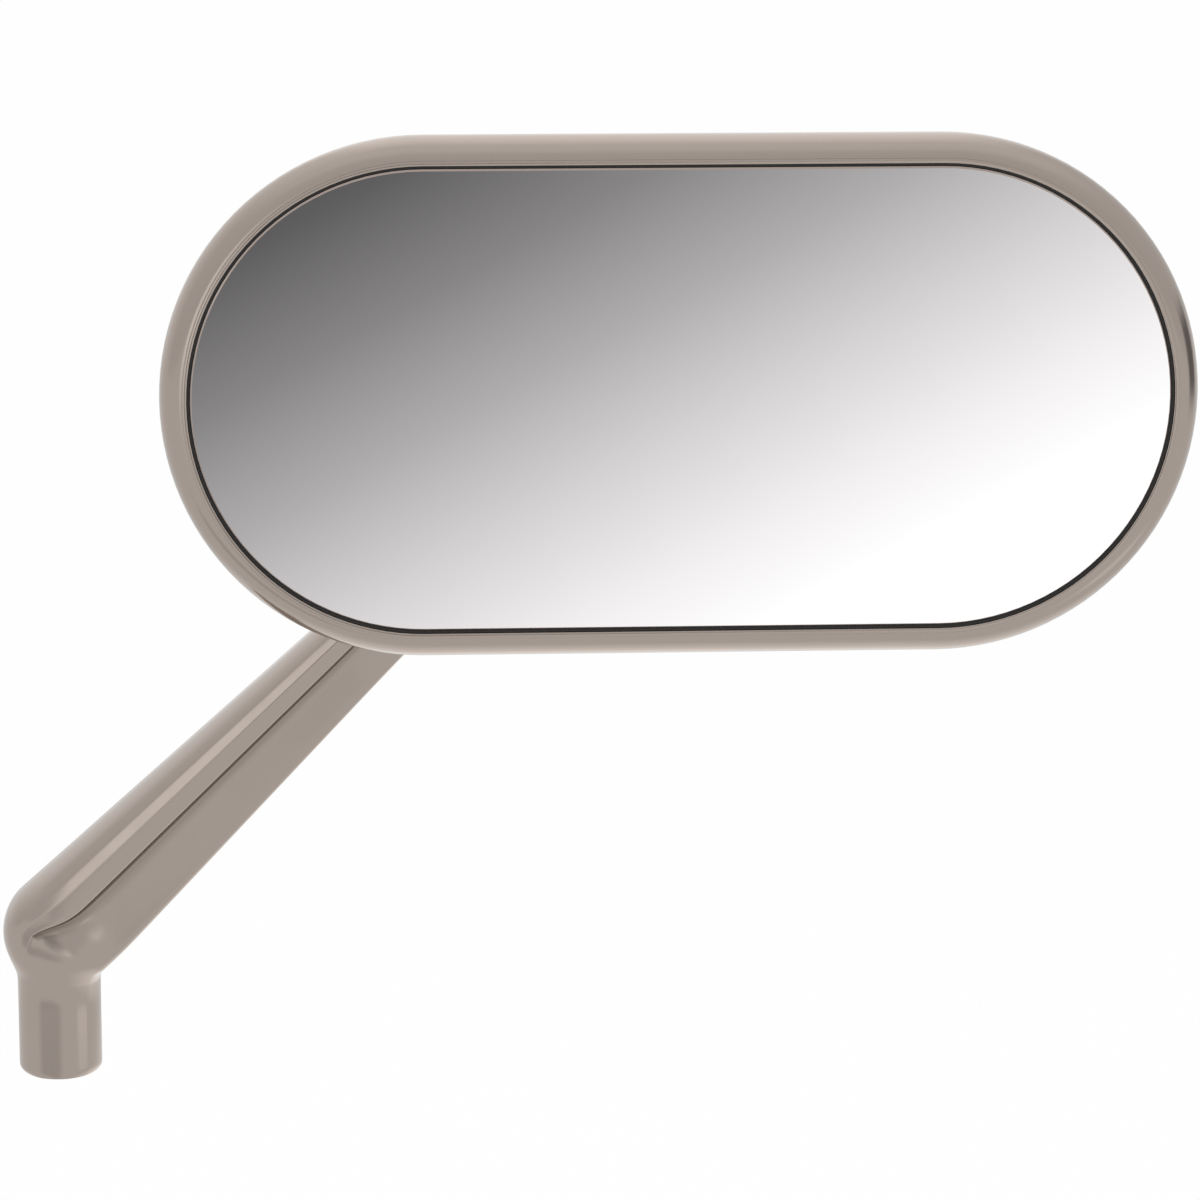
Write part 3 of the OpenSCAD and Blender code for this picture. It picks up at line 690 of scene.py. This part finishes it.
# The ledge inside the lip, on which the glass's carrier rests.
ledge_w, ledge_d = 2.3, 4.2
lip_in = glass_r + rim_gap
lip_out = lip_in + lip_w
shell_r = lip_out + flank_w
cavity_r, cavity_d = lip_in - ledge_w, shell_d - shell_wall
# The lip's edges are broken by a small round, drawn as two facets.
lip_break = 0.12
lip_mid = lip_break * 0.3
print("bowl is", 2 * (half_run + shell_r), "by", 2 * shell_r, "mm")


# %% The bowl's profile
def bezier(points, k):
    """A point on the curve that four handles draw."""
    weights = ((1 - k) ** 3, 3 * (1 - k) ** 2 * k, 3 * (1 - k) * k * k, k ** 3)
    return tuple(sum(w * p[i] for w, p in zip(weights, points)) for i in (0, 1))


outside = [(shell_r, flank_d), (shell_r, flank_d + 5.5), (shell_r / 2, shell_d), (0, shell_d)]
inside = [(cavity_r, ledge_d), (cavity_r, ledge_d + 6), (cavity_r * 0.54, cavity_d), (0, cavity_d)]
drop = lip_step - lip_proud
back_steps, flank_steps, inside_steps = 40, 28, 24
bowl_profile = [bezier(outside, 1 - k / back_steps) for k in range(back_steps)]
for k in range(flank_steps, -1, -1):
    a = math.radians(90 * k / flank_steps)
    bowl_profile.append((lip_out + flank_w * math.sin(a), flank_d - (flank_d - drop) * math.cos(a)))
bowl_profile += [
    (lip_out, -lip_proud + lip_break), (lip_out - lip_mid, -lip_proud + lip_mid),
    (lip_out - lip_break, -lip_proud), (lip_in + lip_break, -lip_proud),
    (lip_in + lip_mid, -lip_proud + lip_mid), (lip_in, -lip_proud + lip_break),
    (lip_in, ledge_d)]
bowl_profile += [bezier(inside, k / inside_steps) for k in range(inside_steps + 1)]
print("points of the profile:", len(bowl_profile))


# %% The bowl swept round the racetrack
def racetrack_ring(r, depth, arc=56, straight=10):
    """Points round one racetrack, in the part's frame. The straight runs have matching points."""
    flat = []
    for side in (1, -1):
        for k in range(arc):
            a = -math.pi / 2 + math.pi * k / arc
            flat.append((side * (half_run + r * math.cos(a)), side * r * math.sin(a)))
        for k in range(straight):
            flat.append((side * half_run * (1 - 2 * k / straight), side * r))
    y = HEAD.y / MM + depth
    return [(HEAD.x / MM + x, y, HEAD.z / MM + z) for x, z in flat]


bowl = skin("bowl", [racetrack_ring(max(r, 0.0), d) for r, d in bowl_profile], caps=False)
print("faces of the bowl:", len(bowl.polygons))

# %% [markdown]
# ## The socket in the bowl
# A round socket stands through the bowl's back and holds the ball stud. Its seat is part of a
# sphere about the ball's centre, and its mouth is just wide enough for the stud's neck to swing.
# Booleans with a sphere would leave a ragged seat, so it is turned as one closed ring and set in a
# hole that is cut in the bowl.

# %% Socket
# Depth of the ball's centre behind the glass, and the socket's radius, reach and mouth.
ball_d, socket_r, socket_back, mouth_r = 16.5, 11.5, 6.5, 5.5
# The seat's sphere, the bore for the pressure cup, and the depth at which the socket starts.
seat_r, cup_bore_r, socket_front = 7.16, 9.16, 7.1
ball_centre = (HEAD.x / MM, HEAD.y / MM + ball_d, HEAD.z / MM)

seat_angles = [math.radians(a) for a in range(0, 181, 3)]
seat = [(seat_r * math.sin(a), seat_r * math.cos(a)) for a in seat_angles]
mouth_h = -math.sqrt(seat_r ** 2 - mouth_r ** 2)
seat_top = 2.0
seat_edge = math.sqrt(seat_r ** 2 - seat_top ** 2)
front_h = ball_d - socket_front
wall = [(cup_bore_r, front_h), (cup_bore_r, seat_top), (seat_edge, seat_top)]
wall += [(r, h) for r, h in seat if mouth_h < h < seat_top]
wall += [(mouth_r, mouth_h), (mouth_r, -socket_back + edge_break)]
wall += [(mouth_r + edge_break, -socket_back), (socket_r - edge_break, -socket_back)]
wall += [(socket_r - edge_mid, -socket_back + edge_mid), (socket_r, -socket_back + edge_break)]
wall += [(socket_r, front_h)]

# The hole is a little smaller than the socket, so that the two overlap without a gap.
hole_r, hole_top = socket_r - 0.6, ball_d - 6
socket_hole = revolved("socket_hole", [
    (0, -socket_back - 2), (hole_r, -socket_back - 2), (hole_r, hole_top), (0, hole_top)],
    ball_centre, (0, -1, 0))
bowl = cut(bowl, socket_hole)
socket = turned_ring("socket", wall, ball_centre, (0, -1, 0))
joined = bmesh.new()
joined.from_mesh(bowl)
joined.from_mesh(socket)
joined.to_mesh(bowl)
joined.free()
piece("head_bowl", soften(bowl, 28), satin_nickel, "head", "head_shell")


# %% [markdown]
# ## Turned hardware
# The ball stud, its nut and washers have the right shape in the frame, but their facets would show
# in a close view. Making them again would gain nothing, so a merged copy with smooth shading and
# sharp real edges stands in for each, and for the nylon liners and the rubber bead.

# %% Smooth copies of the hardware
def smooth_copy(node, body):
    """Puts a smoothly shaded copy of a node in its place."""
    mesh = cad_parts[node].data.copy()
    work = bmesh.new()
    work.from_mesh(mesh)
    bmesh.ops.remove_doubles(work, verts=work.verts, dist=0.002 * MM)
    work.to_mesh(mesh)
    work.free()
    piece(node + "_turned", soften(mesh, 24), finishes[node], body, node)


for node in ("ball_stud", "cap_nut", "flat_washer"):
    smooth_copy(node, "arm")
smooth_copy("spring_washer", "arm")
smooth_copy("liner_rear", "liner_rear")
smooth_copy("liner_front", "liner_front")
smooth_copy("rim_seal", "head")

# %% [markdown]
# ## Floor
# Metal shows what stands round it. The floor is plain and pale, far enough below the mirror that
# its shadow stays out of the picture. More light could make it white, but would bleach the mirror,
# so the paint shows the camera plain white. To the metal it is a soft grey that grows lighter
# towards the place under the head, as a studio's floor does under its lamps.

# %% Floor
floor_drop, floor_reach = 120 * MM, 6.0
lit_spot = (0.108, 0.16, -floor_drop)
floor_corners = ((-1, -1), (1, -1), (1, 1), (-1, 1))
floor_mesh = bpy.data.meshes.new("floor")
floor_mesh.from_pydata(
    [(x * floor_reach, y * floor_reach, -floor_drop) for x, y in floor_corners],
    [], [(0, 1, 2, 3)])
floor = bpy.data.objects.new("floor", floor_mesh)
bpy.context.scene.collection.objects.link(floor)

floor_paint, tree, shader = surface("floor_paint", Base_Color=colour("#F4F4F4"), Roughness=0.9)
ray = add(tree, "ShaderNodeLightPath")
seen_white = add(tree, "ShaderNodeEmission", Color=colour("#FFFFFF"), Strength=1.0)
place = add(tree, "ShaderNodeTexCoord")
off = add(tree, "ShaderNodeVectorMath", {0: place.outputs["Object"]}, {"operation": "DISTANCE"})
off.inputs[1].default_value = lit_spot
nearness = add(tree, "ShaderNodeMapRange", {"Value": off.outputs["Value"]},
               From_Min=0.3, From_Max=0.05, To_Min=0.78, To_Max=1.25)
seen_grey = add(tree, "ShaderNodeEmission", {"Strength": nearness.outputs[0]},
                Color=colour("#FFFFFF"))
to_camera = add(tree, "ShaderNodeMixShader", {
    0: ray.outputs["Is Camera Ray"], 1: shader.outputs[0], 2: seen_white.outputs[0]})
shine = add(tree, "ShaderNodeMath", {
    0: ray.outputs["Is Glossy Ray"], 1: ray.outputs["Is Transmission Ray"]},
    {"operation": "MAXIMUM"})
to_metal = add(tree, "ShaderNodeMixShader", {
    0: shine.outputs[0], 1: to_camera.outputs[0], 2: seen_grey.outputs[0]})
# The last part of the paint's own shader keeps the object's shadow on the floor.
part = add(tree, "ShaderNodeMixShader", {1: shader.outputs[0], 2: to_metal.outputs[0]}, Fac=0.97)
tree.links.new(part.outputs[0], tree.nodes["Material Output"].inputs["Surface"])
floor_mesh.materials.append(floor_paint)
print("floor", floor_drop / MM, "mm below the boss")

# %% [markdown]
# ## Sky
# The sky is white to the camera. To the metal it is a light grey that brightens upwards, with a
# lighter opening behind the mirror, which gives the upper rim its sheen: full in the middle, and
# weaker to the left. Diffuse light comes evenly from all of it. A picture of a real studio could
# do this too, but a few levels are easier to steer, and they carry nobody's room into the metal.

# %% World
full_window, left_share = 0.44, 0.42
sky_lift, sky_diffuse = 1.2, 0.75
sky_levels = ((0.1, 0.57), (0.6, 0.6), (0.8, 0.68), (0.96, 0.72))
world = bpy.data.worlds.new("studio")
bpy.context.scene.world = world
world.use_nodes = True
tree = world.node_tree
sky = tree.nodes["Background"]
heading = add(tree, "ShaderNodeTexCoord")
parts = add(tree, "ShaderNodeSeparateXYZ", {0: heading.outputs["Generated"]})
behind = add(tree, "ShaderNodeMapRange", {"Value": parts.outputs["Y"]},
             From_Min=0.0, From_Max=0.8, To_Min=0.0, To_Max=full_window)
aside = add(tree, "ShaderNodeMath", {0: parts.outputs["X"]}, {"operation": "ABSOLUTE"})
middle = add(tree, "ShaderNodeMapRange", {"Value": aside.outputs[0]},
             From_Min=0.45, From_Max=0.15, To_Min=0.0, To_Max=1.0)
left = add(tree, "ShaderNodeMapRange", {"Value": parts.outputs["X"]},
           From_Min=0.1, From_Max=-0.2, To_Min=0.0, To_Max=left_share)
opening = add(tree, "ShaderNodeMath", {0: middle.outputs[0], 1: left.outputs[0]},
              {"operation": "MAXIMUM"})
window = add(tree, "ShaderNodeMath", {0: behind.outputs[0], 1: opening.outputs[0]},
             {"operation": "MULTIPLY"})
above = add(tree, "ShaderNodeValToRGB", {"Fac": parts.outputs["Z"]})
for step, (spot, light) in enumerate(sky_levels):
    elements = above.color_ramp.elements
    element = elements[step] if step < 2 else elements.new(spot)
    element.position = spot
    element.color = (light, light, light, 1)
lifted = add(tree, "ShaderNodeMath", {0: above.outputs[0]}, {"operation": "MULTIPLY"})
lifted.inputs[1].default_value = sky_lift
around = add(tree, "ShaderNodeMath", {0: lifted.outputs[0], 1: window.outputs[0]},
             {"operation": "ADD"})
ray = add(tree, "ShaderNodeLightPath")
plain = add(tree, "ShaderNodeMix", {0: ray.outputs["Is Glossy Ray"], 3: around.outputs[0]})
plain.inputs[2].default_value = sky_diffuse
level = add(tree, "ShaderNodeMix", {0: ray.outputs["Is Camera Ray"], 2: plain.outputs[0]})
level.inputs[3].default_value = 1.0
tree.links.new(level.outputs[0], sky.inputs["Strength"])
sky.inputs["Color"].default_value = colour("#FFFFFF")
print("sky nodes:", len(tree.nodes))


# %% [markdown]
# ## Cards round the mirror
# A photographer shapes reflections with cards, and only reflections see these. The glass shows a
# wide card behind the photographer, with an even fade from grey at its upper left to white at its
# lower right. Four more have soft borders: a bright one gives the ridge's crest its light band, a
# dark and a light one put two upright bands on the boss, and a dark one on the right draws the
# line in the right rim. Lamps could stand in for the bright ones, but only a card can be dark.

# %% Card helpers
def card(name, centre, width, height, face_to, material):
    """A flat card, in millimetres, which only glossy rays see."""
    normal = (Vector(face_to) - Vector(centre)).normalized()
    side = Vector((0, 0, 1)).cross(normal).normalized()
    up = normal.cross(side)
    corners = [Vector(centre) + side * x * width / 2 + up * y * height / 2
               for x, y in ((-1, -1), (1, -1), (1, 1), (-1, 1))]
    mesh = bpy.data.meshes.new(name)
    mesh.from_pydata([c * MM for c in corners], [], [(0, 1, 2, 3)])
    spread = mesh.uv_layers.new(name="spread")
    for point, spot in zip(spread.data, ((0, 0), (1, 0), (1, 1), (0, 1))):
        point.uv = spot
    mesh.materials.append(material)
    obj = bpy.data.objects.new(name, mesh)
    bpy.context.scene.collection.objects.link(obj)
    for kind in ("camera", "diffuse", "shadow", "transmission", "volume_scatter"):
        setattr(obj, "visible_" + kind, False)
    print(name, width, "by", height, "mm")


def card_light(name, strength, soft=False):
    """Light paint for a card, whose borders fade out if they are soft."""
    material = bpy.data.materials.new(name)
    material.use_nodes = True
    tree = material.node_tree
    tree.nodes.clear()
    glow = add(tree, "ShaderNodeEmission", Color=colour("#FFFFFF"), Strength=strength)
    end = add(tree, "ShaderNodeOutputMaterial", {"Surface": glow.outputs[0]})
    if soft:
        place = add(tree, "ShaderNodeTexCoord")
        parts = add(tree, "ShaderNodeSeparateXYZ", {0: place.outputs["UV"]})
        sides = []
        for axis in ("X", "Y"):
            off = add(tree, "ShaderNodeMath", {0: parts.outputs[axis]}, {"operation": "SUBTRACT"})
            off.inputs[1].default_value = 0.5
            far = add(tree, "ShaderNodeMath", {0: off.outputs[0]}, {"operation": "ABSOLUTE"})
            sides.append(add(tree, "ShaderNodeMapRange", {"Value": far.outputs[0]},
                             {"interpolation_type": "SMOOTHSTEP"},
                             From_Min=0.5, From_Max=0.2, To_Min=0.0, To_Max=1.0))
        both = add(tree, "ShaderNodeMath", {0: sides[0].outputs[0], 1: sides[1].outputs[0]},
                   {"operation": "MULTIPLY"})
        clear = add(tree, "ShaderNodeBsdfTransparent")
        blend = add(tree, "ShaderNodeMixShader", {
            0: both.outputs[0], 1: clear.outputs[0], 2: glow.outputs[0]})
        tree.links.new(blend.outputs[0], end.inputs["Surface"])
    return material, tree, glow


# %% The card that the glass shows
# Its tone, from 0 to 1, at one place, and how it changes with each millimetre across and up.
middle_x, middle_z, middle_tone = 175.2, -21.6, 206 / 255
tone_x, tone_z = 0.437 / 255, -0.807 / 255
# The ramp holds tones up to 300, because the fade goes on past white. Each stop pairs the tone that
# the even fade asks for with the grey that is painted there. Up to 214 they differ by one at most,
# and the stops in between are there because the ramp mixes linear light. Above, the curve bends, so
# that the fade reaches white late, as paper does in strong light. The last stop is past white.
ramp_top = 300
stops = ((56, 57), (96, 97), (136, 137), (176, 177), (214, 214), (236, 231), (252, 243), (285, 255))
past_white = (1.05, 1.07, 1.06, 1)

fade_paint, tree, glow = card_light("fade_card", 1.0)
place = add(tree, "ShaderNodeTexCoord")
axes = add(tree, "ShaderNodeSeparateXYZ", {0: place.outputs["Object"]})
by_x = add(tree, "ShaderNodeMath", {0: axes.outputs["X"]}, {"operation": "MULTIPLY"})
by_x.inputs[1].default_value = tone_x / MM
by_z = add(tree, "ShaderNodeMath", {0: axes.outputs["Z"]}, {"operation": "MULTIPLY"})
by_z.inputs[1].default_value = tone_z / MM
total = add(tree, "ShaderNodeMath", {0: by_x.outputs[0], 1: by_z.outputs[0]}, {"operation": "ADD"})
tone = add(tree, "ShaderNodeMath", {0: total.outputs[0]}, {"operation": "ADD"})
tone.inputs[1].default_value = middle_tone - middle_x * tone_x - middle_z * tone_z
share = add(tree, "ShaderNodeMath", {0: tone.outputs[0]}, {"operation": "MULTIPLY"})
share.inputs[1].default_value = 255 / ramp_top
ramp = add(tree, "ShaderNodeValToRGB", {"Fac": share.outputs[0]})
for step, (spot, value) in enumerate(stops):
    elements = ramp.color_ramp.elements
    element = elements[step] if step < 2 else elements.new(spot / ramp_top)
    element.position = spot / ramp_top
    element.color = colour("#%02X%02X%02X" % (value, value, value))
element.color = past_white
tree.links.new(ramp.outputs[0], glow.inputs["Color"])
card("fade_card", (175, -950, -20), 356, 180, (175, 0, -20), fade_paint)

# %% The soft cards
for name, strength, centre, width, height in (
        ("band_card", 1.2, (-160, -1000, 75), 290, 270),
        ("boss_dark_card", 0.6, (-105, -250, -84), 420, 90),
        ("boss_light_card", 0.98, (350, -180, -84), 260, 100),
        ("side_dark_card", 0.2, (800, 90, 120), 700, 300)):
    paint = card_light(name, strength, soft=True)[0]
    card(name, centre, width, height, (60, 0, min(centre[2], 60)), paint)

# %% [markdown]
# ## Lamps
# Two large, weak lamps above the camera, one on each side, give the rubber and the plastic their
# soft light. The metal doesn't show them.

# %% Soft lamps
lamp_size = 0.9
for name, spot, power in (("key", (-0.6, -0.9, 1.4), 5.0), ("fill", (1.1, -0.7, 0.9), 3.0)):
    lamp = bpy.data.lights.new(name, "AREA")
    lamp.shape = "SQUARE"
    lamp.size = lamp_size
    lamp.energy = power
    obj = bpy.data.objects.new(name, lamp)
    obj.location = spot
    obj.rotation_euler = (HEAD - Vector(spot)).to_track_quat("-Z", "Y").to_euler()
    obj.visible_glossy = False
    bpy.context.scene.collection.objects.link(obj)
    print(name, "lamp:", power, "W")
